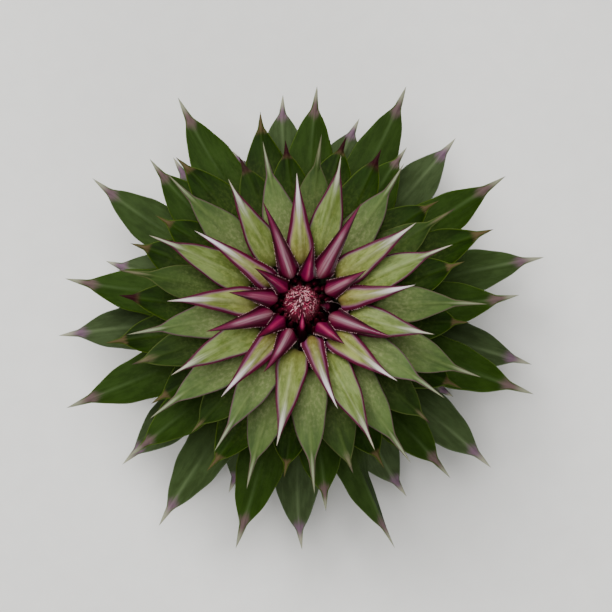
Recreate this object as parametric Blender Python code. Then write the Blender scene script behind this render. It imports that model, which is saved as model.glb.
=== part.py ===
"""A thistle flower head in bud, picked with a short stub of its stalk and set down face up.

Metres, +Z up along the stalk. The origin is under the middle of the head, on the surface that it rests on:
the cut stub stands there and the lowest bracts, bent back, touch it with their spines. The sizes below are
in millimetres and degrees.

Each bract is a lens-shaped strip carried along a curve in a plane through the axis: out of the receptacle,
up the side of the head, over a knee, and out to its spine. The curves of all the bracts are one nested
family, so no bract cuts another whatever way it leans round the axis.
"""

import math

import bmesh
import bpy
import numpy as np

MM = 0.001

# The spiral: bract 0 is the innermost, and each next one stands one golden turn further round and lower.
BRACTS = 107
FIRST_AZIMUTH = 270.0
GOLDEN_TURN = -137.54
SINGLE_BRACTS = 51  # the inner ones come away one by one
ROW_SIZE = 8  # the outer ones share a collar in rows of this many

# This head's own irregularities: how far a bract leans round the axis (degrees) and how much further out or
# nearer than the rule its spine ends.
LEAN = {1: 13, 5: 13, 6: 8, 8: -9, 10: 4, 13: 6, 14: 2.5, 15: 2, 17: 1, 18: 6, 19: 3, 20: -4, 21: -2,
        22: -3, 25: 4, 26: 2, 28: 2.5, 29: -2, 32: 1.5, 33: 3, 36: 1.5, 37: -4, 39: -1.5, 40: 1, 41: 1.5,
        43: -3, 45: -1.5, 47: 1.5, 49: 5, 50: -4, 53: -4, 54: -5, 55: -1, 56: 2, 57: 5, 61: -1, 63: -5,
        64: -6, 65: 4, 66: -2.5, 67: 2, 69: -5, 70: 2, 71: -4, 72: -1.5, 73: 2.5, 75: -1, 76: -2, 78: -1,
        79: -2, 80: -2, 81: 3, 82: -5, 83: -1, 85: -5, 87: 1, 88: 2, 89: 2, 90: -3, 91: -5.5, 92: 4, 93: -6}
LONGER = {6: 0.9, 7: -0.2, 9: 1.9, 12: 0.8, 14: 1.3, 15: -0.7, 18: -1.0, 21: 0.5, 23: -1.2, 26: 0.8,
          27: 0.9, 29: 0.8, 32: 0.3, 33: -0.4, 34: 0.8, 36: -0.5, 38: -1.7, 39: 0.3, 41: -0.5, 42: 0.4,
          43: -2.2, 44: 1.1, 52: 0.4, 53: 1.2, 54: 0.3, 55: -0.3, 56: 2.2, 57: -0.7, 62: 2.6, 64: 1.4,
          65: -1.2, 66: 0.4, 67: -0.5, 68: -0.5, 72: -0.3, 73: -1.1, 74: -0.3, 75: 0.7, 77: 0.2, 82: -0.6,
          85: -3.0, 87: -0.2, 89: -0.3, 90: -3.5, 91: 0.8, 93: -1.2}

# The receptacle and its stalk: a fleshy cone that narrows down to the cut stub.
STUB_RADIUS = 2.5
FOOT = np.array([2.75, 3.6])
RIM = np.array([6.2, 10.2])
RECEPTACLE_TOP = 10.5

# The head's globe, on which every bract has its knee: one radius, an upper and a lower height.
GLOBE_RADIUS = 12.0
GLOBE_CENTRE = 10.0
GLOBE_RISE = 12.6
GLOBE_DROP = 9.4

# The packed florets: a domed column that the innermost bracts wrap.
DOME_RADIUS = 1.8
DOME_TOP = 23.6

GAP = 0.3  # between a piece and the piece that it sits against
BRACT_THICKNESS = 0.34
EDGE_FROM_RIM = 0.25
SINGLE_PITCH = 0.058  # down the receptacle's side, from one single bract to the next
ROW_PITCH = 0.60  # and from one row to the next
COLLAR_DEPTH = 0.45
COLLAR_HEIGHT = 0.34
TURNED_STEPS = 24

# How each measure changes from the innermost bract (0) to the outermost (106).
KNEE_ANGLE = ((0, 11), (13, 18), (34, 33), (60, 63), (84, 90), (106, 115))
TIP_RADIUS = ((0, 1), (1, 6.0), (5, 6.0), (8, 8.2), (10, 9.8), (13, 11.4), (17, 13.2), (24, 15.3),
              (31, 17.4), (36, 19.5), (42, 19.3), (50, 17.3), (60, 18.8), (66, 20.3), (70, 23.2), (74, 25.3),
              (80, 26.9), (84, 27), (88, 25.6), (92, 24.7), (95, 21.6), (99, 19), (106, 18))
SPREAD = ((0, 95), (1, 48), (3, 42), (12, 28), (26, 19), (34, 13), (42, 9), (50, 8), (60, 3), (70, -2),
          (80, -8), (92, -18), (99, -44), (106, -46))
KNEE_LEAN = ((0, 112), (12, 108), (26, 100), (42, 92), (60, 84), (75, 74), (90, 44), (106, 14))
ROOT_SLOPE = ((0, 8), (60, 10), (106, 2))
ROOT_REACH = ((0, 1.7), (30, 4.0), (60, 6.6), (75, 6.6), (90, 5.4), (106, 3.4))
KNEE_REACH = ((0, 0.66), (60, 0.5), (75, 0.38), (106, 0.30))
# WIDTH is across the blade, ROUNDING and TAPER are the powers of its outline, SPINE_SLOPE is half the spine's
# width for each mm from its tip, CONE is half a cone's width at its foot, and CONE_SHARE is 1 for a pure cone.
WIDTH = ((0, 1.1), (1, 1.9), (12, 2.5), (17, 3.2), (26, 3.8), (45, 4.8), (76, 5.2), (106, 5.2))
ROUNDING = ((0, 2.0), (17, 2.0), (30, 2.9), (66, 3.0), (77, 3.6), (106, 4.0))
TAPER = ((0, 1.8), (17, 1.8), (30, 1.0), (106, 1.0))
SPINE_LENGTH = ((0, 0), (17, 0), (24, 0.8), (30, 3.2), (41, 3.0), (44, 1.2), (66, 1.5), (70, 2.2),
                (78, 2.5), (84, 2.0), (106, 2.0))
SPINE_SLOPE = ((0, 0.14), (17, 0.13), (30, 0.10), (41, 0.12), (44, 0.2), (66, 0.2), (72, 0.17), (106, 0.2))
CONE = ((0, 0.6), (1, 1.0), (5, 1.1), (9, 1.22), (12, 1.27), (16, 1.35), (106, 1.35))
CONE_SHARE = ((0, 1.0), (12, 1.0), (15, 0.35), (18, 0.0), (106, 0.0))


def along(stations, k):
    """The measure of bract k, read between the stations of a list."""
    return float(np.interp(k, *zip(*stations)))


def heading(degrees):
    """A unit step in the (radius, height) plane, at this slope above the outward level."""
    return np.array([math.cos(math.radians(degrees)), math.sin(math.radians(degrees))])


def bezier(points, t):
    """A cubic curve through the first and last of four points, drawn by the two between."""
    t = np.asarray(t)[:, None]
    a, b, c, d = points
    return (1 - t) ** 3 * a + 3 * (1 - t) ** 2 * t * b + 3 * (1 - t) * t * t * c + t ** 3 * d


def root_of(k, gap=GAP):
    """Where bract k leaves the receptacle: a step down its side from the rim, and a gap out from it."""
    side = FOOT - RIM
    down = side / np.linalg.norm(side)
    out = np.array([-down[1], down[0]])
    step = EDGE_FROM_RIM + min(k, SINGLE_BRACTS) * SINGLE_PITCH
    if k >= SINGLE_BRACTS:
        step += ((k - SINGLE_BRACTS) // ROW_SIZE + 0.5) * ROW_PITCH
    return RIM + down * step + out * gap


def knee_of(k):
    """Where bract k bends outwards: on the globe, at its own angle from the top."""
    angle = math.radians(along(KNEE_ANGLE, k))
    height = GLOBE_RISE if angle < math.pi / 2 else GLOBE_DROP
    return np.array([GLOBE_RADIUS * math.sin(angle), GLOBE_CENTRE + height * math.cos(angle)])


def wrapped_path(k, t):
    """The hidden part of bract k, from the receptacle up to its knee, at each t from 0 to 1."""
    root, knee = root_of(k), knee_of(k)
    reach = along(KNEE_REACH, k) * np.linalg.norm(knee - root)
    leave = root + heading(along(ROOT_SLOPE, k)) * along(ROOT_REACH, k)
    arrive = knee - heading(along(KNEE_LEAN, k)) * reach
    return bezier((root, leave, arrive, knee), t)


def spread_path(k, t):
    """The open part of bract k, from its knee out to the tip of its spine, at each t from 0 to 1."""
    knee, slope = knee_of(k), along(SPREAD, k)
    if k == 0:
        tip = np.array([1.0, DOME_TOP + 1.0])  # the innermost one stays shut over the florets
    else:
        reach = along(TIP_RADIUS, k) + LONGER.get(k, 0) - knee[0]
        tip = knee + heading(slope) * reach / math.cos(math.radians(slope))
        tip[1] = max(tip[1], 0)  # the lowest spines rest on the surface
    length = np.linalg.norm(tip - knee)
    bend = knee + heading(along(KNEE_LEAN, k)) * min(1.6, 0.16 * length)
    return bezier((knee, bend, tip - heading(slope - 4) * 0.45 * length, tip), t)


def half_width(k, t, span):
    """Half the width of bract k at t, the share of its length: -1 at its root, 0 at its knee and 1 at its
    tip, span away. A narrow foot widens to the knee; then a blade, full (1 - (t/e)^a)^b, ends at e, the
    length of the spine before the tip, and a straight spine runs on. The innermost ones are plain cones."""
    full = along(WIDTH, k) / 2
    foot = full * (0.5 + 0.35 * (t + 1))
    s = np.clip(t, 0, 1)
    end = 1 - along(SPINE_LENGTH, k) / span
    blade = full * (1 - np.clip(s / end, 0, 1) ** along(ROUNDING, k)) ** along(TAPER, k)
    blade *= 0.85 + 0.15 * np.clip(s / 0.3, 0, 1)
    spine = np.minimum(along(SPINE_SLOPE, k) * span * (1 - s), 0.8)
    spread = np.cbrt(blade ** 3 + spine ** 3)
    spread += along(CONE_SHARE, k) * (along(CONE, k) * (1 - s) - spread)
    return np.where(t < 0, foot, spread)


def bract_mesh(k):
    """A closed mesh of bract k: lens-shaped sections, bent round the axis, from a flat root to a point."""
    hidden, shown = np.array([0, 0.22, 0.45, 0.72, 1.0]), np.array([0.1, 0.25, 0.45, 0.7, 0.87, 1.0])
    path = np.vstack([wrapped_path(k, hidden), spread_path(k, shown)])
    length = np.concatenate([[0], np.cumsum(np.linalg.norm(np.diff(path, axis=0), axis=1))])
    length -= length[len(hidden) - 1]
    t = np.where(length < 0, length / -length[0], length / length[-1])
    ahead = np.gradient(path, axis=0)
    ahead /= np.linalg.norm(ahead, axis=1)[:, None]
    inner_side = np.stack([-ahead[:, 1], ahead[:, 0]], axis=1) * BRACT_THICKNESS / 2
    turn = along_lean(k, t)
    width = half_width(k, t, length[-1])
    half_angle = width / np.maximum(path[:, 0], width * 1.4)
    half_angle[t < -0.5] = np.minimum(half_angle[t < -0.5], math.radians(15.5))

    mesh = bmesh.new()
    rings = []
    for i in range(len(t) - 1):
        corners = ((path[i], -half_angle[i]), (path[i] + inner_side[i], 0),
                   (path[i], half_angle[i]), (path[i] - inner_side[i], 0))
        rings.append([mesh.verts.new(turned_point(p, turn[i] + a)) for p, a in corners])
    tip = mesh.verts.new(turned_point(path[-1], turn[-1]))
    for low, high in zip(rings, rings[1:]):
        for i in range(4):
            j = (i + 1) % 4
            mesh.faces.new((low[i], low[j], high[j], high[i]))
    for i in range(4):
        mesh.faces.new((rings[-1][i], rings[-1][(i + 1) % 4], tip))
    mesh.faces.new(rings[0])
    bmesh.ops.triangulate(mesh, faces=mesh.faces[:])
    bmesh.ops.recalc_face_normals(mesh, faces=mesh.faces[:])
    return mesh


def along_lean(k, t):
    """The azimuth of bract k in radians, at each t: its place in the spiral, plus its lean past the knee."""
    grown = np.clip(0.5 + t / 2, 0, 1)
    return np.radians(FIRST_AZIMUTH + GOLDEN_TURN * k + LEAN.get(k, 0) * grown)


def turned_point(point, azimuth):
    """A point of the (radius, height) plane, turned to an azimuth and taken to metres."""
    radius, height = point
    return (radius * math.cos(azimuth) * MM, radius * math.sin(azimuth) * MM, height * MM)


def material(name, colour, roughness):
    """A plain surface of one colour."""
    made = bpy.data.materials.new(name)
    made.use_nodes = True
    shader = made.node_tree.nodes["Principled BSDF"]
    shader.inputs["Base Color"].default_value = (*colour, 1.0)
    shader.inputs["Roughness"].default_value = roughness
    shader.inputs["Metallic"].default_value = 0.0
    return made


def add_object(name, mesh, finish):
    """A named object in the scene, smooth but for its sharp edges."""
    data = bpy.data.meshes.new(name)
    mesh.to_mesh(data)
    mesh.free()
    data.shade_smooth()
    data.set_sharp_from_angle(angle=math.radians(50))
    data.materials.append(finish)
    obj = bpy.data.objects.new(name, data)
    bpy.context.scene.collection.objects.link(obj)
    return obj


def turned(name, profile, closed, finish):
    """A solid turned from a profile of (radius, height) points, given down its outer side."""
    mesh = bmesh.new()
    points = [mesh.verts.new((r * MM, 0, z * MM)) for r, z in profile]
    for a, b in zip(points, points[1:] + points[:1] if closed else points[1:]):
        mesh.edges.new((a, b))
    obj = add_object(name, mesh, finish)
    screw = obj.modifiers.new("turn", "SCREW")
    screw.steps = screw.render_steps = TURNED_STEPS
    screw.use_merge_vertices = True
    screw.merge_threshold = 0.00001
    screw.use_smooth_shade = True
    return obj


def add_receptacle(finish):
    """The receptacle with its stub, cut flat across."""
    profile = [(0, RECEPTACLE_TOP), (RIM[0] - 1.2, RECEPTACLE_TOP), (RIM[0], RIM[1]), tuple(FOOT),
               (STUB_RADIUS, FOOT[1] - 0.5), (STUB_RADIUS, 0), (0, 0)]
    return turned("receptacle", profile, False, finish)


def add_florets(finish):
    """The packed florets: a dome on a column that follows the innermost bract, a gap inside it."""
    wall = wrapped_path(0, np.linspace(0.95, 0.1, 8))
    inset = BRACT_THICKNESS / 2 + GAP + 0.1
    column = [(min(r - inset, RIM[0]), z) for r, z in wall if z > RECEPTACLE_TOP + GAP + 0.3]
    dome = [(DOME_RADIUS * math.sin(a), DOME_TOP - DOME_RADIUS * (1 - math.cos(a)))
            for a in np.radians((0, 30, 60, 85))]
    foot = [(column[-1][0], RECEPTACLE_TOP + GAP), (0, RECEPTACLE_TOP + GAP)]
    return turned("floret_cluster", dome + column + foot, False, finish)


def add_row(number, finish):
    """One row of outer bracts, joined at the root by the collar of flesh that they share."""
    first = SINGLE_BRACTS + (number - 1) * ROW_SIZE
    radius, height = root_of(first)
    high, low = height + COLLAR_HEIGHT / 2, height - COLLAR_HEIGHT / 2
    outer = radius + COLLAR_DEPTH
    side = (RIM - FOOT)[0] / (RIM - FOOT)[1] * COLLAR_HEIGHT / 2
    ring = [(outer, high), (outer, low), (radius - side, low), (radius + side, high)]
    row = turned("bract_row_%d" % number, ring, True, finish)
    for k in range(first, first + ROW_SIZE):
        bract = add_object("row_bract_%d" % k, bract_mesh(k), finish)
        bract.hide_render = True
        bract.display_type = "WIRE"
        union = row.modifiers.new("bract %d" % k, "BOOLEAN")
        union.operation = "UNION"
        union.solver = "EXACT"
        union.object = bract
    return row


def build():
    for obj in list(bpy.data.objects):
        bpy.data.objects.remove(obj, do_unlink=True)

    maroon = material("maroon_bract", (0.20, 0.02, 0.06), 0.45)
    striped = material("striped_bract", (0.30, 0.32, 0.12), 0.5)
    green = material("green_bract", (0.15, 0.24, 0.09), 0.55)
    outer = material("outer_bract", (0.13, 0.22, 0.11), 0.6)

    add_receptacle(material("receptacle_flesh", (0.28, 0.38, 0.14), 0.7))
    add_florets(material("floret_tips", (0.35, 0.03, 0.10), 0.6))
    for k in range(SINGLE_BRACTS):
        finish = maroon if k < 13 else striped if k < 29 else green
        add_object("bract_%02d" % k, bract_mesh(k), finish)
    for number in range(1, (BRACTS - SINGLE_BRACTS) // ROW_SIZE + 1):
        add_row(number, green if number < 3 else outer)


build()
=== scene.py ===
import math

import bpy
import numpy as np
from mathutils import Matrix, Vector


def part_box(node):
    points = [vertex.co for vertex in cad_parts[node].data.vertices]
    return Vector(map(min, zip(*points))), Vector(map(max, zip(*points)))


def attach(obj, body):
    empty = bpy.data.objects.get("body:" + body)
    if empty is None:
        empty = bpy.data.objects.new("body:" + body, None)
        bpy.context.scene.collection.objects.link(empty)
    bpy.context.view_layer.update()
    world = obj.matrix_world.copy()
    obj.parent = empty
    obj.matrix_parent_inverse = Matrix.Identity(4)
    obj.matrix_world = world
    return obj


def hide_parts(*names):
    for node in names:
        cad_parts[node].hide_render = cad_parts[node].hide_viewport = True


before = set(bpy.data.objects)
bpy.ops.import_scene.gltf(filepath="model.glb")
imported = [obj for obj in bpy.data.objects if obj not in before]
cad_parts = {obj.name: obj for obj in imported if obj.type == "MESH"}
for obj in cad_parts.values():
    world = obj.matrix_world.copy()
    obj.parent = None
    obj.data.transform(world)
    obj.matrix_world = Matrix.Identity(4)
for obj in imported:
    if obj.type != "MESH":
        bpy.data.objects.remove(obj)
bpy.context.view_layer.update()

# ---------------------------------------------------------------------------
# Camera. It looks down on the bud from 360 mm above the dome, leaning four
# degrees towards -Y and one and a half towards -X, with +Y up in the picture.
# ---------------------------------------------------------------------------
MM = 0.001  # m
CAMERA_DISTANCE, SHIFT_RIGHT, SHIFT_DOWN = 360, 0.357, 0.255  # mm
TILT_X, TILT_Y = 1.5, 4  # degrees
dome_top = Vector((0, 0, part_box("floret_cluster")[1].z))
forward = Vector((math.sin(math.radians(TILT_X)), math.sin(math.radians(TILT_Y)), 0))
forward.z = -math.sqrt(1 - forward.length_squared)
right = forward.cross(Vector((0, 1, 0))).normalized()
up = right.cross(forward)
camera = bpy.data.objects.new("camera", bpy.data.cameras.new("camera"))
bpy.context.scene.collection.objects.link(camera)
camera.data.sensor_width = 36
camera.data.lens = 207.5
camera.data.clip_start, camera.data.clip_end = 0.02, 10
camera.location = (dome_top - forward * CAMERA_DISTANCE * MM + right * SHIFT_RIGHT * MM
                   - up * SHIFT_DOWN * MM)
camera.rotation_mode = "QUATERNION"
camera.rotation_quaternion = Matrix((right, up, -forward)).transposed().to_quaternion()
bpy.context.scene.camera = camera


# ---------------------------------------------------------------------------
# Floor and light. A plain pale matt board, a large and a small soft box high on
# the upper left, a weak low one opposite them, and an even pale surround.
# ---------------------------------------------------------------------------
HALF_BOARD = 1.5  # m


def linear(code):
    """An sRGB hex colour as linear RGBA: (c + 0.055) / 1.055 to the power 2.4, or c / 12.92 when dark."""
    c = np.array([int(code[i:i + 2], 16) for i in (1, 3, 5)]) / 255
    c = np.where(c <= 0.04045, c / 12.92, ((c + 0.055) / 1.055) ** 2.4)
    return (*c.tolist(), 1.0)


def add(tree, kind, settings=None, **links):
    """Adds one node. settings name its properties; links name an input, or _ and its number, and give a
    value or another node's output."""
    made = tree.nodes.new("ShaderNode" + kind)
    for name, value in (settings or {}).items():
        setattr(made, name, value)
    for name, value in links.items():
        socket = made.inputs[int(name[1:]) if name[0] == "_" else name.replace("_", " ")]
        if isinstance(value, bpy.types.NodeSocket):
            tree.links.new(value, socket)
        else:
            socket.default_value = value
    return made


def new_material(name):
    """An empty node material with its Principled shader."""
    material = bpy.data.materials.new(name)
    material.use_nodes = True
    return material, material.node_tree, material.node_tree.nodes["Principled BSDF"]


def make_piece(name, points, faces, materials, face_materials=None, **attributes):
    """One closed mesh from whole arrays, shaded smooth, with its attributes stored on the points."""
    mesh = bpy.data.meshes.new(name)
    mesh.from_pydata(points.tolist(), [], faces)
    for material in materials:
        mesh.materials.append(material)
    mesh.polygons.foreach_set("use_smooth", np.ones(len(mesh.polygons), bool))
    if face_materials is not None:
        mesh.polygons.foreach_set("material_index", face_materials)
    for key, values in attributes.items():
        layer = mesh.attributes.new(key, "FLOAT_VECTOR", "POINT")
        layer.data.foreach_set("vector", np.asarray(values, np.float32).ravel())
    mesh.update()
    piece = bpy.data.objects.new(name, mesh)
    bpy.context.scene.collection.objects.link(piece)
    return piece


board, tree, shader = new_material("pale_board")
place = add(tree, "TexCoord").outputs["Object"]
grain = add(tree, "TexNoise", Vector=place, Scale=400.0, Detail=3.0)
tone = add(tree, "Mix", {"data_type": "RGBA"}, _0=grain.outputs["Fac"],
           _6=linear("#e6e5e1"), _7=linear("#eeede9"))
tree.links.new(tone.outputs[2], shader.inputs["Base Color"])
shader.inputs["Roughness"].default_value = 0.85
corners = np.array([(-1, -1, 0), (1, -1, 0), (1, 1, 0), (-1, 1, 0)]) * HALF_BOARD
floor = make_piece("floor", corners, [(0, 1, 2, 3)], [board])


def soft_box(name, place, aim, size, power):
    """A square area light at place, turned to face aim."""
    light = bpy.data.lights.new(name, "AREA")
    light.size, light.energy = size, power
    lamp = bpy.data.objects.new(name, light)
    lamp.location = place
    lamp.rotation_mode = "QUATERNION"
    lamp.rotation_quaternion = (Vector(aim) - Vector(place)).to_track_quat("-Z", "Y")
    bpy.context.scene.collection.objects.link(lamp)


bud = (0, 0, 0.01)
soft_box("top_bank", (-0.10, 0.16, 0.60), bud, size=0.50, power=5.1)
soft_box("key_light", (-0.24, 0.30, 0.40), bud, size=0.16, power=1.5)
soft_box("fill_bank", (0.14, -0.44, 0.20), bud, size=0.30, power=1.2)
world = bpy.data.worlds.new("surround")
world.use_nodes = True
world.node_tree.nodes["Background"].inputs["Color"].default_value = linear("#f4f5f5")
world.node_tree.nodes["Background"].inputs["Strength"].default_value = 0.13
bpy.context.scene.world = world

# ---------------------------------------------------------------------------
# Receptacle. The fleshy base that every bract grows from, on a short ribbed
# and downy stub of the stalk, cut across: solid green tissue with pale pith.
# ---------------------------------------------------------------------------
# The foot and the rim of the flank that bears the bracts: radius and height in mm.
FOOT = np.array((2.75, 3.6))
RIM = np.array((6.2, 10.2))


def closed_tube(rings, wrap):
    """Faces of a grid of points: rings rows of wrap points, joined round each row. Two more points, at the
    end of the list, close the first and the last row."""
    i, j = np.meshgrid(np.arange(rings - 1), np.arange(wrap), indexing="ij")
    a, b = i * wrap + j, i * wrap + (j + 1) % wrap
    quads = np.stack([a, b, b + wrap, a + wrap], -1).reshape(-1, 4).tolist()
    first, last = rings * wrap, rings * wrap + 1
    j = np.arange(wrap)
    k = (j + 1) % wrap
    top = (rings - 1) * wrap
    ends = np.stack([k, j, np.full(wrap, first)], 1).tolist()
    ends += np.stack([top + j, top + k, np.full(wrap, last)], 1).tolist()
    return quads + ends


def turned(profile, wrap, ripple):
    """A profile of (radius, height) pairs turned round the axis: the radius is multiplied by
    1 + ripple(share along the profile, angle)."""
    profile = np.asarray(profile, float)
    share = np.linspace(0, 1, len(profile))[:, None]
    angle = np.linspace(0, 2 * np.pi, wrap, endpoint=False)[None]
    radius = profile[:, :1] * (1 + ripple(share, angle))
    height = profile[:, 1:] + 0 * angle
    points = np.stack([radius * np.cos(angle), radius * np.sin(angle), height], -1).reshape(-1, 3)
    ends = [(0, 0, profile[0, 1]), (0, 0, profile[-1, 1])]
    return np.vstack([points, ends]) * MM, closed_tube(len(profile), wrap)


stem, tree, shader = new_material("green_stalk_tissue")
place = add(tree, "TexCoord").outputs["Object"]
downy = add(tree, "TexNoise", Vector=place, Scale=2500.0, Detail=4.0)
patch = add(tree, "TexNoise", Vector=place, Scale=500.0, Detail=2.0)
green = add(tree, "Mix", {"data_type": "RGBA"}, _0=patch.outputs["Fac"],
            _6=linear("#6f8250"), _7=linear("#9aa67c"))
where = add(tree, "SeparateXYZ", Vector=place)
radius = add(tree, "VectorMath", {"operation": "LENGTH"}, _0=add(
    tree, "CombineXYZ", X=where.outputs["X"], Y=where.outputs["Y"]).outputs[0])
pith = add(tree, "MapRange", {"interpolation_type": "SMOOTHSTEP"}, Value=radius.outputs["Value"],
           _1=1.9 * MM, _2=1.2 * MM)
low = add(tree, "MapRange", Value=where.outputs["Z"], _1=0.03 * MM, _2=0.01 * MM)
cut = add(tree, "Math", {"operation": "MULTIPLY"}, _0=pith.outputs[0], _1=low.outputs[0])
tone = add(tree, "Mix", {"data_type": "RGBA"}, _0=cut.outputs[0], _6=green.outputs[2],
           _7=linear("#d9dbb8"))
fuzz = add(tree, "Bump", Height=downy.outputs["Fac"], Distance=0.05 * MM, Strength=0.5)
tree.links.new(tone.outputs[2], shader.inputs["Base Color"])
tree.links.new(fuzz.outputs[0], shader.inputs["Normal"])
shader.inputs["Roughness"].default_value = 0.65


def stalk_ribs(share, angle):
    """Twelve low ribs, which fade in above the cut and out again up the flank."""
    return 0.028 * np.cos(12 * angle) * np.clip((0.55 - share) * 8, 0, 1) * np.clip(share * 12, 0, 1)


profile = [(0.9, 0), (1.8, 0), (2.4, 0), (2.5, 0.12), (2.52, 0.6), (2.5, 1.2), (2.5, 1.9), (2.55, 2.6),
           (2.65, 3.2), FOOT, (3.7, 5.3), (4.7, 7.2), (5.5, 8.8), RIM, (5.9, 10.45), (4.0, 10.5),
           (1.0, 10.5)]
points, faces = turned(profile, wrap=96, ripple=stalk_ribs)
receptacle = make_piece("receptacle_flesh_body", points, faces, [stem])
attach(receptacle, "root")
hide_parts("receptacle")

# ---------------------------------------------------------------------------
# Bract shape. Every bract grows from the receptacle's flank, hugs the globe up
# to its knee, then spreads into a blade that narrows to a spine.
# ---------------------------------------------------------------------------
# Bract k stands at FIRST_AZIMUTH + k GOLDEN_TURN degrees. LEAN and LONGER are measured departures of single
# bracts from the rule: degrees round the axis, and mm by which the tip lies further out.
FIRST_AZIMUTH = 270.0
GOLDEN_TURN = -137.54
LEAN = {1: 13, 5: 13, 6: 8, 8: -9, 10: 4, 13: 6, 14: 2.5, 15: 2, 17: 1, 18: 6, 19: 3, 20: -4, 21: -2,
        22: -3, 25: 4, 26: 2, 28: 2.5, 29: -2, 32: 1.5, 33: 3, 36: 1.5, 37: -4, 39: -1.5, 40: 1, 41: 1.5,
        43: -3, 45: -1.5, 47: 1.5, 49: 5, 50: -4, 53: -4, 54: -5, 55: -1, 56: 2, 57: 5, 61: -1, 63: -5,
        64: -6, 65: 4, 66: -2.5, 67: 2, 69: -5, 70: 2, 71: -4, 72: -1.5, 73: 2.5, 75: -1, 76: -2, 78: -1,
        79: -2, 80: -2, 81: 3, 82: -5, 83: -1, 85: -5, 87: 1, 88: 2, 89: 2, 90: -3, 91: -5.5, 92: 4, 93: -6}
LONGER = {6: 0.9, 7: -0.2, 9: 1.9, 12: 0.8, 14: 1.3, 15: -0.7, 18: -1.0, 21: 0.5, 23: -1.2, 26: 0.8,
          27: 0.9, 29: 0.8, 32: 0.3, 33: -0.4, 34: 0.8, 36: -0.5, 38: -1.7, 39: 0.3, 41: -0.5, 42: 0.4,
          43: -2.2, 44: 1.1, 52: 0.4, 53: 1.2, 54: 0.3, 55: -0.3, 56: 2.2, 57: -0.7, 62: 2.6, 64: 1.4,
          65: -1.2, 66: 0.4, 67: -0.5, 68: -0.5, 72: -0.3, 73: -1.1, 74: -0.3, 75: 0.7, 77: 0.2, 82: -0.6,
          85: -3.0, 87: -0.2, 89: -0.3, 90: -3.5, 91: 0.8, 93: -1.2}
# On DARK_SPINED the tip's colour starts further in. COLOURED_AS gives the number whose colours a bract
# takes. CURLED has one half folded down. SHUT_TIPS gives, for the bracts that stay shut against the dome,
# the tip's radius and its height above the dome's top in mm.
DARK_SPINED = (43, 46, 51, 53, 59)
COLOURED_AS = {35: 34.4, 37: 32.6, 39: 33.5, 42: 34.3, 44: 35.2, 45: 41.4, 47: 39.6, 50: 42.6, 52: 41.7,
               55: 46.4}
CURLED = 81
SHUT_TIPS = {0: (1.0, 1.0), 2: (1.85, -0.35)}
SINGLE_BRACTS, ROWS, ROW_SIZE = 51, 7, 8
# The globe's radius, the height of its centre, and how far it rises above and drops below that, in mm.
GLOBE_RADIUS, GLOBE_CENTRE, GLOBE_RISE, GLOBE_DROP = 12.0, 10.0, 12.6, 9.4
# Roots stand GAP off the flank, from EDGE_FROM_RIM down it, a pitch apart for each bract or row, in mm.
GAP, EDGE_FROM_RIM, SINGLE_PITCH, ROW_PITCH = 0.3, 0.25, 0.058, 0.60
# From here each table holds pairs of a bract's number and a value. These shape its path: the knee's angle
# from the globe's top, the tip's radius, the slopes of the open part, of the knee and of the root in
# degrees, and the reach of the root in mm and of the knee as a share.
KNEE_ANGLE = ((0, 11), (13, 18), (34, 33), (60, 63), (84, 90), (106, 115))
TIP_RADIUS = ((0, 1), (1, 6.0), (5, 6.0), (8, 8.2), (10, 9.8), (13, 11.4), (17, 13.2), (24, 15.3),
              (31, 17.4), (36, 19.5), (42, 19.3), (50, 17.3), (60, 18.8), (66, 20.3), (70, 23.2),
              (74, 25.3), (80, 26.9), (84, 27), (88, 25.6), (92, 24.7), (95, 21.6), (99, 19), (106, 18))
SPREAD = ((0, 95), (1, 48), (2, 112), (3, 42), (12, 28), (26, 19), (34, 13), (42, 9), (50, 8), (60, 3),
          (70, -2), (80, -8), (92, -18), (99, -44), (106, -46))
KNEE_LEAN = ((0, 112), (12, 108), (26, 100), (42, 92), (60, 84), (75, 74), (90, 44), (106, 14))
ROOT_SLOPE = ((0, 8), (60, 10), (106, 2))
ROOT_REACH = ((0, 1.7), (30, 4.0), (60, 6.6), (75, 6.6), (90, 5.4), (106, 3.4))
KNEE_REACH = ((0, 0.66), (60, 0.5), (75, 0.38), (106, 0.30))
# These shape its blade: its width in mm, the powers of its outline, the spine's length in mm and half its
# width for each mm from the tip, half a cone's width at its foot in mm, and the share of a pure cone.
WIDTH = ((0, 1.1), (1, 1.9), (12, 2.5), (17, 3.2), (26, 3.8), (45, 4.8), (76, 5.2), (106, 5.2))
ROUNDING = ((0, 2.0), (17, 2.0), (30, 2.9), (66, 3.0), (77, 3.6), (106, 4.0))
TAPER = ((0, 1.8), (17, 1.8), (30, 1.0), (106, 1.0))
SPINE_LENGTH = ((0, 0), (17, 0), (24, 0.8), (30, 3.2), (42, 3.0), (43, 1.3), (44, 2.7), (45, 1.2),
                (66, 1.5), (70, 2.2), (78, 2.5), (84, 2.0), (106, 2.0))
SPINE_SLOPE = ((0, 0.14), (17, 0.13), (30, 0.10), (42, 0.12), (43, 0.19), (44, 0.12), (45, 0.2), (66, 0.2),
               (72, 0.17), (106, 0.2))
CONE = ((0, 0.36), (1, 1.0), (2, 0.55), (3, 1.05), (5, 1.1), (9, 1.22), (12, 1.27), (16, 1.35), (106, 1.35))
CONE_SHARE = ((0, 1.0), (12, 1.0), (15, 0.35), (18, 0.0), (106, 0.0))
# A cone narrows by these shares at its knee and below it, so that neighbours stand clear of each other.
CONE_DRAWN_IN, FOOT_DRAWN_IN = 0.24, 0.192
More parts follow.
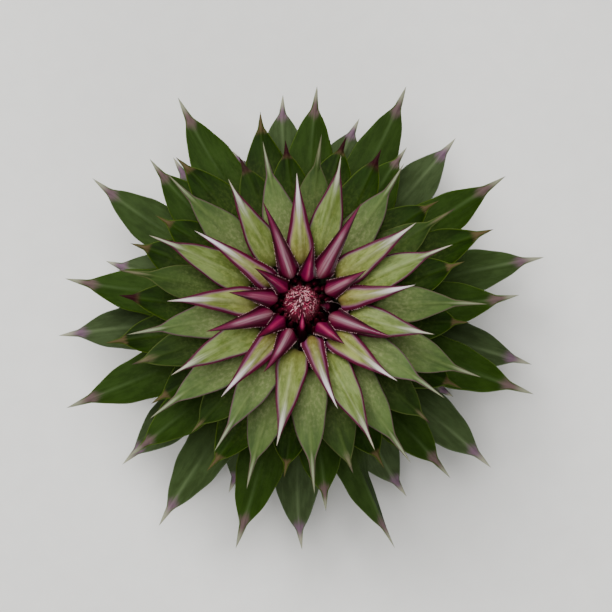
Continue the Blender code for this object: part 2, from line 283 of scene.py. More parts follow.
# These shape its section: 1 for a fleshy one and 0 for a thin one, half the crest's width in mm, and the
# fold of the flanks as a share of half the width.
FLESH = ((0, 1.0), (12, 1.0), (14, 0.45), (28, 0.15), (45, 0.0), (106, 0.0))
CREST = ((0, 0.4), (1, 0.60), (2, 0.4), (3, 0.63), (5, 0.66), (6, 0.80), (12, 0.84), (14, 0.6), (28, 0.5),
         (45, 0.6), (106, 0.6))
FOLD = ((0, 0.10), (12, 0.14), (14, 0.16), (28, 0.10), (45, 0.05), (106, 0.06))
# These place its colours: the margin's width in mm, half the midrib's, and how far along it turns pale.
MARGIN = ((0, 0.26), (5, 0.28), (12, 0.30), (13, 0.34), (17, 0.30), (21, 0.2), (28, 0.14), (40, 0.10),
          (106, 0.09))
MIDRIB = ((0, 0.14), (5, 0.24), (6, 0.31), (12, 0.42), (16, 0.28), (28, 0.2), (45, 0.2), (106, 0.25))
PALE_FROM = ((13, 0.18), (16, 0.28), (20, 0.38), (28, 0.56), (42, 0.6), (50, 0.68))


def along(stations, k):
    """The value at bract number k, straight between the stations."""
    return float(np.interp(k, *zip(*stations)))


def heading(degrees):
    """A unit step in the plane of radius and height."""
    return np.array((math.cos(math.radians(degrees)), math.sin(math.radians(degrees))))


def bezier(points, t):
    """The cubic through four control points."""
    t = np.asarray(t)[:, None]
    a, b, c, d = points
    return a * (1 - t) ** 3 + 3 * b * t * (1 - t) ** 2 + 3 * c * t * t * (1 - t) + d * t ** 3


def smooth(low, high, x):
    """0 below low and 1 above high, with 3x^2 - 2x^3 between; low may be the larger."""
    x = np.clip((x - low) / (high - low), 0, 1)
    return x * x * (3 - 2 * x)


def root_of(k):
    """Where bract k leaves the flank: a little further down it for each bract."""
    down = (FOOT - RIM) / np.linalg.norm(FOOT - RIM)
    step = EDGE_FROM_RIM + min(k, SINGLE_BRACTS) * SINGLE_PITCH
    if k >= SINGLE_BRACTS:
        step += ((k - SINGLE_BRACTS) // ROW_SIZE + 0.5) * ROW_PITCH
    return RIM + down * step + np.array((-down[1], down[0])) * GAP


def knee_of(k):
    """The knee: a point of the globe's meridian, lower for each bract."""
    angle = math.radians(along(KNEE_ANGLE, k))
    height = GLOBE_RISE if angle < math.pi / 2 else GLOBE_DROP
    return np.array((GLOBE_RADIUS * math.sin(angle), GLOBE_CENTRE + height * math.cos(angle)))


def wrapped_path(k, t):
    """Root to knee in radius and height, t from 0 to 1."""
    root, knee = root_of(k), knee_of(k)
    reach = along(KNEE_REACH, k) * np.linalg.norm(knee - root)
    leave = root + heading(along(ROOT_SLOPE, k)) * along(ROOT_REACH, k)
    return bezier((root, leave, knee - heading(along(KNEE_LEAN, k)) * reach, knee), t)


def spread_path(k, t):
    """Knee to tip in radius and height, t from 0 to 1."""
    knee, slope = knee_of(k), along(SPREAD, k)
    reach = along(TIP_RADIUS, k) + LONGER.get(k, 0) - knee[0]
    tip = knee + heading(slope) * reach / math.cos(math.radians(slope))
    if k in SHUT_TIPS:
        tip = np.array((0, dome_top.z / MM)) + SHUT_TIPS[k]
    tip[1] = max(tip[1], 0)
    length = np.linalg.norm(tip - knee)
    leave = knee + heading(along(KNEE_LEAN, k)) * min(1.6, 0.16 * length)
    return bezier((knee, leave, tip - heading(slope - 4) * 0.45 * length, tip), t)


def half_width(k, t, span):
    """Half the width in mm at t, the share of the length: -1 at the root, 0 at the knee and 1 at the tip,
    span mm away. The blade is full (1 - (t/e)^a)^b and ends at e, a spine's length before the tip; the
    spine widens straight from the tip and levels off; the two join as the cube root of their cubes' sum.
    The innermost bracts are plain cones, drawn in at the foot."""
    full, conical = along(WIDTH, k) / 2, along(CONE_SHARE, k)
    foot = full * (0.5 + 0.35 * (t + 1)) * (1 - FOOT_DRAWN_IN * conical)
    s = np.clip(t, 0, 1)
    end = 1 - along(SPINE_LENGTH, k) / span
    blade = full * (1 - np.clip(s / end, 0, 1) ** along(ROUNDING, k)) ** along(TAPER, k)
    blade *= 0.85 + 0.15 * smooth(0, 0.3, s)
    spine = 0.8 * np.tanh(along(SPINE_SLOPE, k) * span * (1 - s) / 0.8)
    spread = np.cbrt(blade ** 3 + spine ** 3)
    cone = along(CONE, k) * (1 - s) * (1 - CONE_DRAWN_IN + CONE_DRAWN_IN * smooth(0, 0.14, s))
    spread += conical * (cone - spread)
    rising = foot + (spread[np.argmin(np.abs(t))] - foot) * smooth(-0.35 + 0.25 * conical, 0, t)
    return np.where(t < 0, rising, spread)


def random_of(k, use):
    """A fixed scattered number from 0 to 1 for each bract and use: the fraction of a large sine."""
    return (math.sin(k * 12.9898 + use * 78.233) * 43758.5453) % 1


# A root reaches at most ROOT_SPAN degrees to each side. A blade's edge ripples by the share RIPPLE of its
# width, with WAVE radians to a mm, and the blade sways by up to half of SWAY degrees.
ROOT_SPAN, RIPPLE, WAVE, SWAY = 15.5, 0.025, 1.7, 2.2
# Half the wall is EDGE_WALL mm thick at the edge and MORE_WALL thicker in the middle. A fleshy crest is
# FULL_CREST times as tall as half its width, and a thin one LOW_CREST mm.
EDGE_WALL, MORE_WALL, FULL_CREST, LOW_CREST = 0.05, 0.09, 0.68, 0.06
# The section's points run from 1 at one edge over the upper side to -1 at the other and back under. Up to
# ON_CREST they lie on the crest, and beyond it on the flanks. ABOVE is 1 over, 0 under and 0.5 on the two
# EDGES. HIDDEN and SHOWN place the rows of points, as shares of the path up to the knee and beyond it.
ON_CREST = 0.6
HALF_TOP = np.array([1, .975, .93, .86, .77, .68, .6, .5, .4, .31, .23, .15, .07, 0])
HALF_UNDER = np.array([.96, .8, .6, .4, .2, 0])
ACROSS = np.concatenate([HALF_TOP, -HALF_TOP[-2::-1], -HALF_UNDER, HALF_UNDER[-2::-1]])
ABOVE = np.concatenate([np.ones(2 * len(HALF_TOP) - 1), np.zeros(2 * len(HALF_UNDER) - 1)])
EDGES = (0, 2 * len(HALF_TOP) - 2)
ABOVE[list(EDGES)] = 0.5
HIDDEN = np.array([0, .1, .22, .34, .45, .55, .65, .73, .8, .86, .91, .96])
SHOWN = np.concatenate([np.linspace(0, 0.3, 14), np.linspace(0.33, 0.96, 34), [0.975, 0.988, 0.996, 1]])


def centre_line(k):
    """Root to tip: the points in radius and height, their distance beyond the knee, and their normals."""
    path = np.vstack([wrapped_path(k, HIDDEN), spread_path(k, SHOWN)])
    length = np.concatenate([[0], np.cumsum(np.linalg.norm(np.diff(path, axis=0), axis=1))])
    length -= length[len(HIDDEN)]
    step = np.gradient(path, axis=0)
    step /= np.linalg.norm(step, axis=1)[:, None]
    return path, length, np.stack([-step[:, 1], step[:, 0]], 1)


def pale_share(k, numbered, t, v, half):
    """How pale the spine is. It is pale where the blade is narrow, and on the outer bracts along the
    middle too; from 13 to 42 a pale wedge widens from PALE_FROM on to the tip instead."""
    if 12 < numbered < 43:
        start = along(PALE_FROM, k)
        wedge = np.clip((t - start) / (0.88 - start), 0, 1.2)
        return np.minimum(wedge, 1) ** 1.3 * smooth(0.3, -0.5, np.abs(v) - wedge)
    wide = 0.6 + 0.006 * k + 0.6 * (numbered > 66) * (1 - np.abs(v)) ** 2
    return smooth(wide, 0.3, half) * smooth(0.3, 0.7, t)


def tone_and_painted_light_of(k, t):
    """How bright a bract is painted: bract 0 gets painted light that grows towards its tip, the other shut
    one painted shade, and the rest differ a little at random.
    """
    if k == 0:
        return 1.4 + 1.6 * t
    return 0.4 if k in SHUT_TIPS else 0.93 + 0.14 * random_of(k, 1)


def markings(k, t, v, width, length):
    """What the material reads at each point. trim: the distance from the edge in margins, from the middle
    in midribs, and how pale the spine is. place: mm across and along, and the number that gives the
    colours. stage: t, then t moved to let the tip's colour start further in or out, and the brightness
    scale: a little random tone, with painted light on bract 0 and painted shade on bract 2."""
    t, half = t[:, None], width[:, None]
    x = v * half
    margin = np.minimum(along(MARGIN, k), 0.32 * width + 1e-6)[:, None]
    midrib = np.minimum(along(MIDRIB, k), 0.45 * width + 1e-6)[:, None]
    numbered = COLOURED_AS.get(k, k)
    pale = pale_share(k, numbered, t, v, half)
    reach = 0.14 if k in DARK_SPINED else -0.14 * (42 < numbered < 67) + 0.05 * (numbered > 66)
    trim = ((1 - np.abs(v)) * half / margin, x / midrib, pale)
    place = (x, length[:, None], float(numbered))
    stage = (t, t + reach + 0 * v, tone_and_painted_light_of(k, t))
    return [np.stack(np.broadcast_arrays(*marks), -1) for marks in (trim, place, stage)]


def bract(k):
    """A closed shell. Along: the wrapped and the spread path. Across: the share v of the half width,
    bent round the axis. Its height off the path is a thin wall, plus a crest (1 - s^2)^b over the share s
    of the crest's own width, less a fold v^2 of the flanks; the crest becomes the round spine. One half of
    CURLED is turned down along its edge."""
    path, length, normal = centre_line(k)
    t = np.where(length < 0, length / -length[0], length / length[-1])
    width = half_width(k, t, length[-1])
    width *= 1 + RIPPLE * np.sin(length * WAVE + 6.3 * random_of(k, 2)) * smooth(0, 0.2, t)
    # Half the angle that the bract takes up round the axis.
    bend = width / np.maximum(path[:, 0], 1.4 * width)
    bend = np.where(t < -0.5, np.minimum(bend, math.radians(ROOT_SPAN)), bend)
    lean = LEAN.get(k, 0) * np.clip(0.5 + t / 2, 0, 1)
    lean += SWAY * (random_of(k, 3) - 0.5) * np.sin(np.pi * np.clip(t, 0, 1))
    azimuth = np.radians(FIRST_AZIMUTH + GOLDEN_TURN * k + lean)
    flesh, shown = along(FLESH, k), smooth(-0.4, 0.0, t)
    # spine is 0 on the blade and 1 where it has narrowed; share is the crest's part of the half width.
    spine = smooth(0.62 + 0.25 * (12 < k < 29), 0.32, width) * smooth(0.25, 0.6, t)
    crest = along(CREST, k) * np.clip(1 - t, 0, 1) ** 0.7 * (0.3 + 0.7 * shown)
    share = np.clip(crest / np.maximum(width, 1e-6), 0.12, 0.9)
    share += (0.9 - share) * spine
    tall = FULL_CREST * flesh * crest + LOW_CREST * (1 - flesh)
    tall *= smooth(-0.4 + 0.26 * along(CONE_SHARE, k), 0.0, t)
    tall += (0.9 * width - tall) * spine
    power = 2 - 1.2 * flesh
    power += (0.5 - power) * spine
    w, spine, share, tall = (a[:, None] for a in (width, spine, share, tall))
    u = np.abs(ACROSS)[None]
    flank = share + (u - ON_CREST) / (1 - ON_CREST) * (1 - share)
    v = np.sign(ACROSS) * np.where(u < ON_CREST, u / ON_CREST * share, flank)
    s = np.clip(np.abs(v) / share, 0, 1)
    wall = np.minimum(EDGE_WALL + MORE_WALL * (1 - v * v), 0.5 * w)
    ridge = tall * (1 - s ** 2) ** power[:, None]
    round_under = 0.85 * w * np.sqrt(1 - v * v)
    over = wall * (1 - spine) + ridge
    under = -(wall + 0.45 * ridge) * (1 - spine) - round_under * spine
    fold = -along(FOLD, k) * shown[:, None] * w * v * v * (1 - spine) - 0.5 * flesh * tall
    curl = smooth(0.1, 0.5, t[:, None]) * (v > 0) * (k == CURLED)
    height = np.where(ABOVE[None] == 0.5, 0, np.where(ABOVE[None] == 1, over, under))
    height = height + fold - 0.8 * curl * (v * w)
    radius = path[:, :1] + normal[:, :1] * height
    level = path[:, 1:] + normal[:, 1:] * height
    angle = azimuth[:, None] + v * bend[:, None] * (1 - 0.7 * curl)
    grid = np.stack([radius * np.cos(angle), radius * np.sin(angle), np.maximum(level, 0.02)], -1)
    points, *layers = (np.vstack([rows[:-1].reshape(-1, 3), rows[0].mean(0), rows[-1].mean(0)])
                       for rows in (grid, *markings(k, t, v, width, length)))
    return points * MM, closed_tube(len(t) - 1, len(ACROSS)), layers, grid, t


def join(parts):
    """Several meshes as one: points and attributes stacked, and faces renumbered."""
    points, faces, layers, start = [], [], [], 0
    for some_points, some_faces, some_layers in parts:
        points.append(some_points)
        faces += [tuple(i + start for i in face) for face in some_faces]
        layers.append(some_layers)
        start += len(some_points)
    return np.vstack(points), faces, [np.vstack(layer) for layer in zip(*layers)]


def stored(tree, name):
    """The three numbers stored under a name on the points."""
    return add(tree, "Attribute", {"attribute_name": name}).outputs["Vector"]


def bract_material(name, change, dark, light, base, foot, speckle, blend, margin, midrib, spine, tip, rib,
                   streak, fade, needle_share, rough, shine):
    """Living bract tissue: a flank streaked along its nerves and speckled at its base, a coloured band
    inside a dark margin, and a pale midrib that becomes the spine. Each colour is a pair, for the bracts
    before and after the two numbers in change. rib gives where the midrib starts, where it is full, and
    its share, in full and between its streaks; streak and needle_share are the shares of the midrib's
    colour on the nerves and of the spine's on the spine; fade is how far along the base colour reaches."""
    material, tree, shader = new_material(name)
    mixed, soft = {"data_type": "RGBA"}, {"interpolation_type": "SMOOTHSTEP"}
    blade = stored(tree, "place")
    from_edge, from_middle, paleness = add(tree, "SeparateXYZ", Vector=stored(tree, "trim")).outputs
    # The third number scales the colour: random tone, painted light on bract 0 and painted shade on bract
    # 2.
    along_t, tip_t, tone_and_painted_light = add(tree, "SeparateXYZ", Vector=stored(tree, "stage")).outputs
    number = add(tree, "SeparateXYZ", Vector=blade).outputs["Z"]
    later = add(tree, "MapRange", soft, Value=number, _1=change[0], _2=change[1]).outputs[0]
    rib_start, rib_full, rib_share, rib_least = rib

    def shade(pair):
        """The first colour before the change and the second after it."""
        return add(tree, "Mix", mixed, _0=later, _6=linear(pair[0]), _7=linear(pair[1])).outputs[2]

    def lay(under, pair, share):
        """A colour laid over another by a share."""
        return add(tree, "Mix", mixed, _0=share, _6=under, _7=shade(pair)).outputs[2]

    def step_of(value, low, high, full=1.0, least=0.0):
        """A soft step, from least at low to full at high."""
        return add(tree, "MapRange", soft, Value=value, _1=low, _2=high, _3=least, _4=full).outputs[0]

    def times(one, other):
        """A product."""
        return add(tree, "Math", {"operation": "MULTIPLY"}, _0=one, _1=other).outputs[0]

    def noise_of(scales, detail):
        """Noise on the blade's own millimetres: across, along, and a new patch for each bract."""
        scaled = add(tree, "VectorMath", {"operation": "MULTIPLY"}, _0=blade, _1=scales)
        return add(tree, "TexNoise", Scale=1.0, Detail=detail, Roughness=0.6,
                   Vector=scaled.outputs[0]).outputs["Fac"]

    patch = noise_of((1.2, 0.35, 3.1), 3.0)
    nerve = noise_of((7.0, 0.25, 7.3), 2.0)
    dust = noise_of((3.4, 2.2, 5.7), 4.0)
    grain = add(tree, "TexNoise", Vector=add(tree, "TexCoord").outputs["Object"], Scale=7000.0, Detail=2.0)
    wobble = add(tree, "Math", {"operation": "MULTIPLY_ADD"}, _0=nerve, _1=0.9, _2=-0.45).outputs[0]
    # The flank: light patches and nerves on the dark tissue, its base, the band at its foot, and specks.
    colour = lay(shade(dark), light, step_of(patch, 0.36, 0.64))
    colour = lay(colour, midrib, step_of(nerve, 0.5, 0.75, streak))
    colour = lay(colour, base, step_of(along_t, fade, -0.02))
    colour = lay(colour, foot, times(step_of(along_t, 0.13, -0.06), step_of(along_t, -0.6, -0.2)))
    colour = lay(colour, speckle, times(times(
        step_of(dust, 0.40, 0.72, 0.5), step_of(along_t, 0.7, 0.15)), step_of(along_t, 0.0, 0.2)))
    # The midrib and the spine, with streaked borders.
    off = add(tree, "Math", {"operation": "ABSOLUTE"}, _0=from_middle).outputs[0]
    crest = times(step_of(off, 1.5, -0.1, rib_share), step_of(nerve, 0.36, 0.58, 1.0, rib_least))
    colour = lay(colour, midrib, times(crest, step_of(along_t, rib_start, rib_full)))
    streaked = add(tree, "Math", {"operation": "ADD"}, _0=wobble, _1=paleness).outputs[0]
    colour = lay(colour, spine, times(
        step_of(paleness, 0.0, 0.3), step_of(streaked, 0.0, 0.95, needle_share)))
    # The wavy band inside the margin, the margin, the tip, and how bright it all is: a little random tone,
    # with painted light on bract 0 and painted shade on bract 2.
    inset = add(tree, "Math", {"operation": "ADD"}, _0=from_edge, _1=wobble).outputs[0]
    colour = lay(colour, blend, step_of(inset, 2.2, 1.0, 0.8))
    colour = lay(colour, margin, times(step_of(from_edge, 1.25, 0.75), step_of(along_t, 1.0, 0.9)))
    colour = lay(colour, tip, step_of(tip_t, 0.87, 0.98))
    colour = add(tree, "VectorMath", {"operation": "SCALE"}, _0=colour, Scale=tone_and_painted_light)
    relief = add(tree, "Math", {"operation": "ADD"}, _0=nerve, _1=grain.outputs["Fac"])
    bump = add(tree, "Bump", Height=relief.outputs[0], Distance=0.04 * MM, Strength=0.4)
    tree.links.new(colour.outputs[0], shader.inputs["Base Color"])
    tree.links.new(bump.outputs[0], shader.inputs["Normal"])
    shader.inputs["Roughness"].default_value = rough
    shader.inputs["IOR"].default_value = 1.40
    shader.inputs["Specular IOR Level"].default_value = shine
    return material


# ---------------------------------------------------------------------------
# Dome. The floret tips in the middle: crimson needles with short pale papillae
# standing on them, inside a ring of small dark bracts that are still shut.
# ---------------------------------------------------------------------------
DOME_RADIUS, DOME_HEIGHT = 1.8, 2.3  # mm
DOME_LEAN = math.radians(13)
NEEDLES, SHUT_BRACTS, PAPILLAE = 46, 30, 340
# Stations along and sides round one rod of each kind.
NEEDLE_STATIONS, NEEDLE_SIDES = 14, 8
SHUT_STATIONS, SHUT_SIDES = 12, 10
PAPILLA_STATIONS, FINE_SIDES = 4, 3


def bristles(paths, thick, sides=FINE_SIDES):
    """Many tapered rods at once. paths holds n centre lines of m points, and thick the radius at each of
    them. Each ring of points is the centre plus the radius times a side of the path turned round it."""
    n, m, _ = paths.shape
    step = np.gradient(paths, axis=1)
    step /= np.linalg.norm(step, axis=2, keepdims=True)
    side = np.cross(step, (0.31, 0.17, 0.93))
    side /= np.linalg.norm(side, axis=2, keepdims=True)
    other = np.cross(step, side)
    angle = np.linspace(0, 2 * np.pi, sides, endpoint=False)
    ring = side[:, :, None] * np.cos(angle)[:, None] + other[:, :, None] * np.sin(angle)[:, None]
    points = (paths[:, :, None] + ring * thick[:, :, None, None]).reshape(n, -1, 3)
    points = np.concatenate([points, paths[:, :1], paths[:, -1:]], 1)
    faces = []
    one = closed_tube(m, sides)
    for rod in range(n):
        faces += [tuple(i + rod * points.shape[1] for i in face) for face in one]
    return points.reshape(-1, 3), faces


def dome_at(polar, azimuth, lift):
    """A point of the dome: polar is the angle from its apex, which leans a little towards +Y, and lift the
    height off its surface in mm."""
    x, y, z = np.sin(polar) * np.cos(azimuth), np.sin(polar) * np.sin(azimuth), np.cos(polar)
    cosine, sine = math.cos(DOME_LEAN), math.sin(DOME_LEAN)
    y, z = y * cosine + z * sine, z * cosine - y * sine
    across, tall = DOME_RADIUS + lift, DOME_HEIGHT + lift
    return np.stack([across * x, across * y, dome_top.z / MM - DOME_HEIGHT - 0.1 + tall * z], -1)


def floret_skin(name, dark, deep, pale):
    """Soft moist tissue. Each rod has its own place between the deep and the pale colour, a little
    blotched, and is darkened towards the dark colour by painted shade, which falls down the dome's flank."""
    material, tree, shader = new_material(name)
    own, painted_shade = add(tree, "SeparateXYZ", Vector=stored(tree, "tint")).outputs[:2]
    place = add(tree, "TexCoord").outputs["Object"]
    blotch = add(tree, "TexNoise", Vector=place, Scale=4000.0, Detail=2.0)
    share = add(tree, "Math", {"operation": "MULTIPLY_ADD"}, _0=blotch.outputs["Fac"], _1=0.8, _2=-0.4)
    share = add(tree, "Math", {"operation": "ADD", "use_clamp": True}, _0=share.outputs[0], _1=own)
    tone = add(tree, "Mix", {"data_type": "RGBA"}, _0=share.outputs[0], _6=linear(deep), _7=linear(pale))
    tone = add(tree, "Mix", {"data_type": "RGBA"}, _0=painted_shade, _6=tone.outputs[2], _7=linear(dark))
    tree.links.new(tone.outputs[2], shader.inputs["Base Color"])
    shader.inputs["Roughness"].default_value = 0.5
    shader.inputs["Specular IOR Level"].default_value = 0.2
    return material


def tints(paleness, painted_shade, each):
    """The tint of every point of some rods, from one paleness and one share of painted shade for each rod.
    """
    return np.repeat(np.stack([paleness, painted_shade, 0 * paleness], 1), each, 0)


needle_skin = floret_skin("crimson_floret_skin", dark="#3c0c16", deep="#3a0416", pale="#7c1838")
papilla_skin = floret_skin("pale_papilla", dark="#600c24", deep="#ac2450", pale="#ffccd2")

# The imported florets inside: a column in radius and height, closed by half an ellipse over its shoulder.
CORE_RADIUS, SHOULDER, CAP = 1.7, 21.2, 2.1
core = [(1.6, 10.6), (1.7, 12), (1.9, 14), (1.8, 17), (1.7, 20), (CORE_RADIUS, SHOULDER)]
core += [(CORE_RADIUS * math.sin(a), SHOULDER + CAP * math.cos(a))
         for a in np.linspace(math.pi / 2, 0.03, 24)]
core_points, core_faces = turned(core, wrap=48, ripple=lambda share, angle: 0 * share * angle)

# The needles: a spiral of them, each lying along the dome from 1.75 radians off its apex to between 0.05
# and 0.6 radians, thick in the middle, and darkened by painted shade down the flank and more on the side
# facing 34 degrees.
rng = np.random.default_rng(7)
number = np.arange(NEEDLES)
azimuth = np.radians(FIRST_AZIMUTH - GOLDEN_TURN * (number + 1))
share = np.linspace(0, 1, NEEDLE_STATIONS)
polar = 1.75 + (0.55 * np.sqrt(1 - number / NEEDLES) - 1.7)[:, None] * share
needles = dome_at(polar, azimuth[:, None] + 0.10 * share, 0.02 + 0.05 * share)
thick = 0.19 * np.sin(np.pi * np.clip(share * 0.9 + 0.1, 0, 1)) ** 0.7 + 0.01
needle_points, needle_faces = bristles(needles, np.tile(thick, (NEEDLES, 1)), NEEDLE_SIDES)
needle_tints = tints(rng.uniform(0, 0.9, NEEDLES), np.zeros(NEEDLES), NEEDLE_STATIONS * NEEDLE_SIDES + 2)
flank = polar + 0.22 * np.cos(azimuth[:, None] - 0.6)
painted_shade = np.repeat(smooth(0.35, 1.2, flank), NEEDLE_SIDES, 1)
needle_tints[:, 1] = np.hstack([painted_shade, np.tile((1.0, 0.0), (NEEDLES, 1))]).ravel()

# The shut bracts: a ring of rods that lean in beside the dome, every other one behind its neighbours. The
# thickness falls as (1 - s^2)^0.8 with the share s of the length.
number = np.arange(SHUT_BRACTS)
angle = 2 * np.pi * (number + rng.uniform(-0.25, 0.25, SHUT_BRACTS)) / SHUT_BRACTS
behind = (number % 2)[:, None]
share = np.linspace(0, 1, SHUT_STATIONS)
radius = 2.5 + 0.55 * behind - (0.5 + rng.uniform(-0.08, 0.12, SHUT_BRACTS)[:, None]) * share
rise = 4.3 - 1.0 * behind + rng.uniform(-0.5, 0.3, SHUT_BRACTS)[:, None]
height = dome_top.z / MM - 5.5 + rise * share
shut = np.stack([radius * np.cos(angle)[:, None], radius * np.sin(angle)[:, None], height], -1)
thick = 0.40 * (1 - share ** 2) ** 0.8 + 0.01
shut_points, shut_faces = bristles(shut, np.tile(thick, (SHUT_BRACTS, 1)), SHUT_SIDES)
# Each shut bract is darkened by a fifth with painted shade.
shut_tints = tints(rng.uniform(0.1, 0.8, SHUT_BRACTS), np.full(SHUT_BRACTS, 0.2),
                   SHUT_STATIONS * SHUT_SIDES + 2)

# The papillae: short pale hairs scattered over the dome, longest and furthest down where lower is 1, on the
# side that faces 240 degrees.
order = (np.arange(PAPILLAE) + 0.5) / PAPILLAE
azimuth = rng.uniform(0, 2 * np.pi, PAPILLAE)
lower = smooth(0.2, 0.95, np.cos(azimuth - math.radians(240)))
polar = np.arccos(1 - 0.52 * order ** 1.15) * (1 + 0.4 * lower)
length = rng.uniform(0.08, 0.26, PAPILLAE) + 0.4 * lower * rng.uniform(0, 1, PAPILLAE)
share = np.linspace(0, 1, PAPILLA_STATIONS)
run = (length * rng.uniform(0.4, 1.0, PAPILLAE))[:, None] * share / DOME_RADIUS
swing = rng.normal(0, 0.15, PAPILLAE) / np.maximum(np.sin(polar), 0.15) * (1 - lower)
paths = dome_at(polar[:, None] + run, azimuth[:, None] + swing[:, None] * share,
                0.16 + rng.uniform(0.02, 0.24, PAPILLAE)[:, None] * share)
thick = rng.uniform(0.018, 0.042, PAPILLAE)[:, None] * np.array((1.0, 1.0, 0.85, 0.4))
papilla_points, papilla_faces = bristles(paths, thick)
# The papillae are darkened by painted shade lower down the dome and more on the side facing 0 degrees.
papilla_tints = tints(np.clip(0.8 - 0.7 * polar + rng.normal(0, 0.5, PAPILLAE), 0, 1),
                      smooth(0.5, 1.3, polar + 0.25 * np.cos(azimuth)) * 0.9,
                      PAPILLA_STATIONS * FINE_SIDES + 2)

points, faces, kinds = core_points / MM, list(core_faces), [0] * len(core_faces)
for more, some, kind in ((needle_points, needle_faces, 0), (shut_points, shut_faces, 0),
                         (papilla_points, papilla_faces, 1)):
    faces += [tuple(i + len(points) for i in face) for face in some]
    kinds += [kind] * len(some)
    points = np.vstack([points, more])
# The core: middling paleness and a fifth of painted shade.
core_tints = np.tile((0.2, 0.2, 0.0), (len(core_points), 1))
dome = make_piece("dome_of_floret_tips", points * MM, faces, [needle_skin, papilla_skin], kinds,
                  tint=np.vstack([core_tints, needle_tints, shut_tints, papilla_tints]))
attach(dome, "root")
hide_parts("floret_cluster")

# ---------------------------------------------------------------------------
# Inner bracts 0 to 12: short thick maroon spikes with a pale streak along the
# crest. 0 and 2 stay shut against the dome. Fine pale teeth rim the wide feet
# of bracts 1 to 21.
# ---------------------------------------------------------------------------
TOOTHED = range(1, 22)
# The teeth run along the edges between two values of t, which is -1 at the root, 0 at the knee and 1 at the
# tip. The second goes by the bract's number. The pitch and the lengths are in mm.
TOOTH_START, TOOTH_END = -0.35, ((0, 0.5), (12, 0.5), (21, 0.1))
TOOTH_PITCH, TOOTH_LENGTH = 0.15, (0.05, 0.12)
maroon = bract_material("maroon_bract_skin", (4, 8), dark=("#5a0030", "#560a36"),
                        light=("#700238", "#6e0e42"), base=("#60002c", "#680c2c"),
                        foot=("#2c0414", "#380c1c"), speckle=("#70043c", "#681c3c"),
                        blend=("#50002c", "#520426"), margin=("#2c000e", "#300014"),
                        midrib=("#94224c", "#94787c"), spine=("#4c0020", "#5c0c34"),
                        tip=("#38101c", "#481420"), rib=(-0.1, 0.2, 0.8, 0.4), streak=0.2, fade=0.36,
                        needle_share=0.9, rough=0.32, shine=0.4)
rim_skin, tree, shader = new_material("pale_rim_tooth")
place = add(tree, "TexCoord").outputs["Object"]
blotch = add(tree, "TexNoise", Vector=place, Scale=3000.0, Detail=1.0)
tone = add(tree, "Mix", {"data_type": "RGBA"}, _0=blotch.outputs["Fac"],
           _6=linear("#a05468"), _7=linear("#fce0dc"))
tree.links.new(tone.outputs[2], shader.inputs["Base Color"])
shader.inputs["Roughness"].default_value = 0.5


def rim_teeth(k, grid, t):
    """Small cones along both edges of a bract's foot, one for each pitch, scattered in place and size.
    Each points straight out from the edge, plus 0.2 to 1 times ahead along it, plus 0.3 times up."""
    rng = np.random.default_rng(100 + k)
    paths = []
    for edge, inner in ((EDGES[0], EDGES[0] + 3), (EDGES[1], EDGES[1] - 3)):
        line = grid[:, edge]
        out = line - grid[:, inner]
        out /= np.linalg.norm(out, axis=1)[:, None] + 1e-9
        run = np.concatenate([[0], np.cumsum(np.linalg.norm(np.diff(line, axis=0), axis=1))])
        first, last = np.interp((TOOTH_START, along(TOOTH_END, k)), t, run)
        at = np.arange(first, last, TOOTH_PITCH)
        at = (at + rng.uniform(-0.07, 0.07, len(at)))[rng.random(len(at)) < 0.85]
        base, away, next_base = (np.stack([np.interp(at + shift, run, column) for column in source.T], 1)
                                 for source, shift in ((line, 0), (out, 0), (line, 0.1)))
        lean = away + (next_base - base) / 0.1 * rng.uniform(0.2, 1.0, len(at))[:, None]
        lean[:, 2] += 0.3
        size = rng.uniform(*TOOTH_LENGTH, len(at))[:, None]
        paths.append(np.stack([base - lean * 0.02, base + lean * size * 0.5, base + lean * size], 1))
    paths = np.concatenate(paths)
    thick = rng.uniform(0.021, 0.038, len(paths))[:, None] * np.array((1.0, 0.8, 0.15))
    points, faces = bristles(paths, thick)
    return points * MM, faces, [np.ones_like(points)] * 3


def place_bract(k, name, node, skin):
    """Makes one bract piece, with its teeth if it has them, and hides the node of the part that it stands
    for.
    """
    points, faces, layers, grid, t = bract(k)
    skins, kinds = [skin], [0] * len(faces)
    if k in TOOTHED:
        teeth = rim_teeth(k, grid, t)
        skins.append(rim_skin)
        kinds += [1] * len(teeth[1])
        points, faces, layers = join([(points, faces, layers), teeth])
    trim, place, stage = layers
    piece = make_piece(name, points, faces, skins, kinds, trim=trim, place=place, stage=stage)
    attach(piece, "root")
    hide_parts(node)


for k in range(13):
    place_bract(k, f"maroon_spike_{k:02d}", f"bract_{k:02d}", maroon)

# ---------------------------------------------------------------------------
# Striped bracts 13 to 28: yellow-green blades edged in dark purple, whose
# cream midrib widens into a white spine.
# ---------------------------------------------------------------------------
striped = bract_material("striped_bract_skin", (15, 24), dark=("#646c2c", "#506024"),
                         light=("#8c904c", "#6c7c44"), base=("#6c5c2c", "#5c642c"),
                         foot=("#3c1818", "#3c1c1c"), speckle=("#989460", "#8c9454"),
                         blend=("#742466", "#604858"), margin=("#480823", "#4a1029"),
                         midrib=("#a8a088", "#848c60"), spine=("#d4ccd0", "#a8ac94"),
                         tip=("#b4a8a0", "#a49c88"), rib=(0.1, 0.5, 0.3, 1.0), streak=0.25, fade=0.4,
                         needle_share=1.0, rough=0.45, shine=0.18)
for k in range(13, 29):
    place_bract(k, f"striped_blade_{k:02d}", f"bract_{k:02d}", striped)
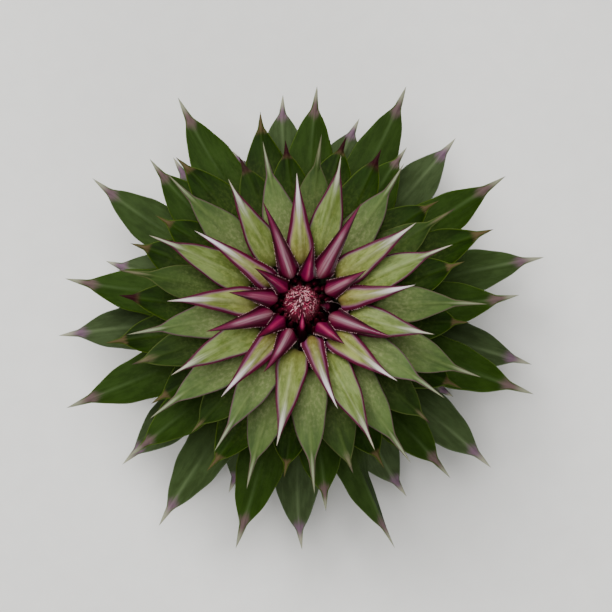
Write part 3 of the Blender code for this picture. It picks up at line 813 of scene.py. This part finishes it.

# ---------------------------------------------------------------------------
# Green bracts 29 to 50 and the first two rows: broad blades, grey-green with a
# long pale spine, then dark green with a short brown one; that dark green is
# partly painted shade of the tiers above.
# ---------------------------------------------------------------------------
# From bract 45 on, all the second colours are darker than the tissue: partly painted shade of the tiers
# above. On the grey-green ones the light base reaches three quarters along and leaves the outer half
# darker: partly the tissue's paler base, partly painted light and shade.
green = bract_material("green_bract_skin", (29, 45), dark=("#40542c", "#0f1e00"),
                       light=("#546838", "#1a2e04"), base=("#687444", "#283810"),
                       foot=("#381c18", "#343818"), speckle=("#94986c", "#4c5c24"),
                       blend=("#506440", "#283c08"), margin=("#5c4848", "#3c4c14"),
                       midrib=("#74804c", "#344818"), spine=("#868e74", "#50442c"),
                       tip=("#84846c", "#280c10"), rib=(0.3, 0.8, 0.35, 1.0), streak=0.12, fade=0.75,
                       needle_share=1.0, rough=0.5, shine=0.05)
for k in range(29, SINGLE_BRACTS):
    place_bract(k, f"green_blade_{k:02d}", f"bract_{k:02d}", green)


def place_row(row, name, skin):
    """Makes the eight bracts of a row as one piece."""
    first = SINGLE_BRACTS + ROW_SIZE * (row - 1)
    points, faces, (trim, place, stage) = join([bract(k)[:3] for k in range(first, first + ROW_SIZE)])
    piece = make_piece(name, points, faces, [skin], trim=trim, place=place, stage=stage)
    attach(piece, "root")
    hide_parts(f"bract_row_{row}")


for row in (1, 2):
    place_row(row, f"green_blades_row_{row}", green)

# ---------------------------------------------------------------------------
# Outer bracts, rows 3 to 7: large smooth leaves, deep green, then a paler
# blue-green; the last row is bent back and carries the bud on its tips.
# ---------------------------------------------------------------------------
# The deep greens of the first colours, up to bract 78, are partly painted shade of the gaps between the
# leaves; the paler blue-green after 88 is the tissue's own.
outer = bract_material("outer_bract_skin", (78, 88), dark=("#1e3008", "#333f24"),
                       light=("#263a0e", "#3e4c2e"), base=("#2c3c10", "#28380c"),
                       foot=("#34441c", "#384820"), speckle=("#34441c", "#384824"),
                       blend=("#283c10", "#445434"), margin=("#3c5014", "#505c44"),
                       midrib=("#445830", "#647450"), spine=("#5c4a48", "#6c5464"),
                       tip=("#80826c", "#94947e"), rib=(0.2, 0.75, 0.5, 1.0), streak=0.08, fade=0.4,
                       needle_share=1.0, rough=0.55, shine=0.05)
for row in range(3, ROWS + 1):
    place_row(row, f"outer_blades_row_{row}", outer)
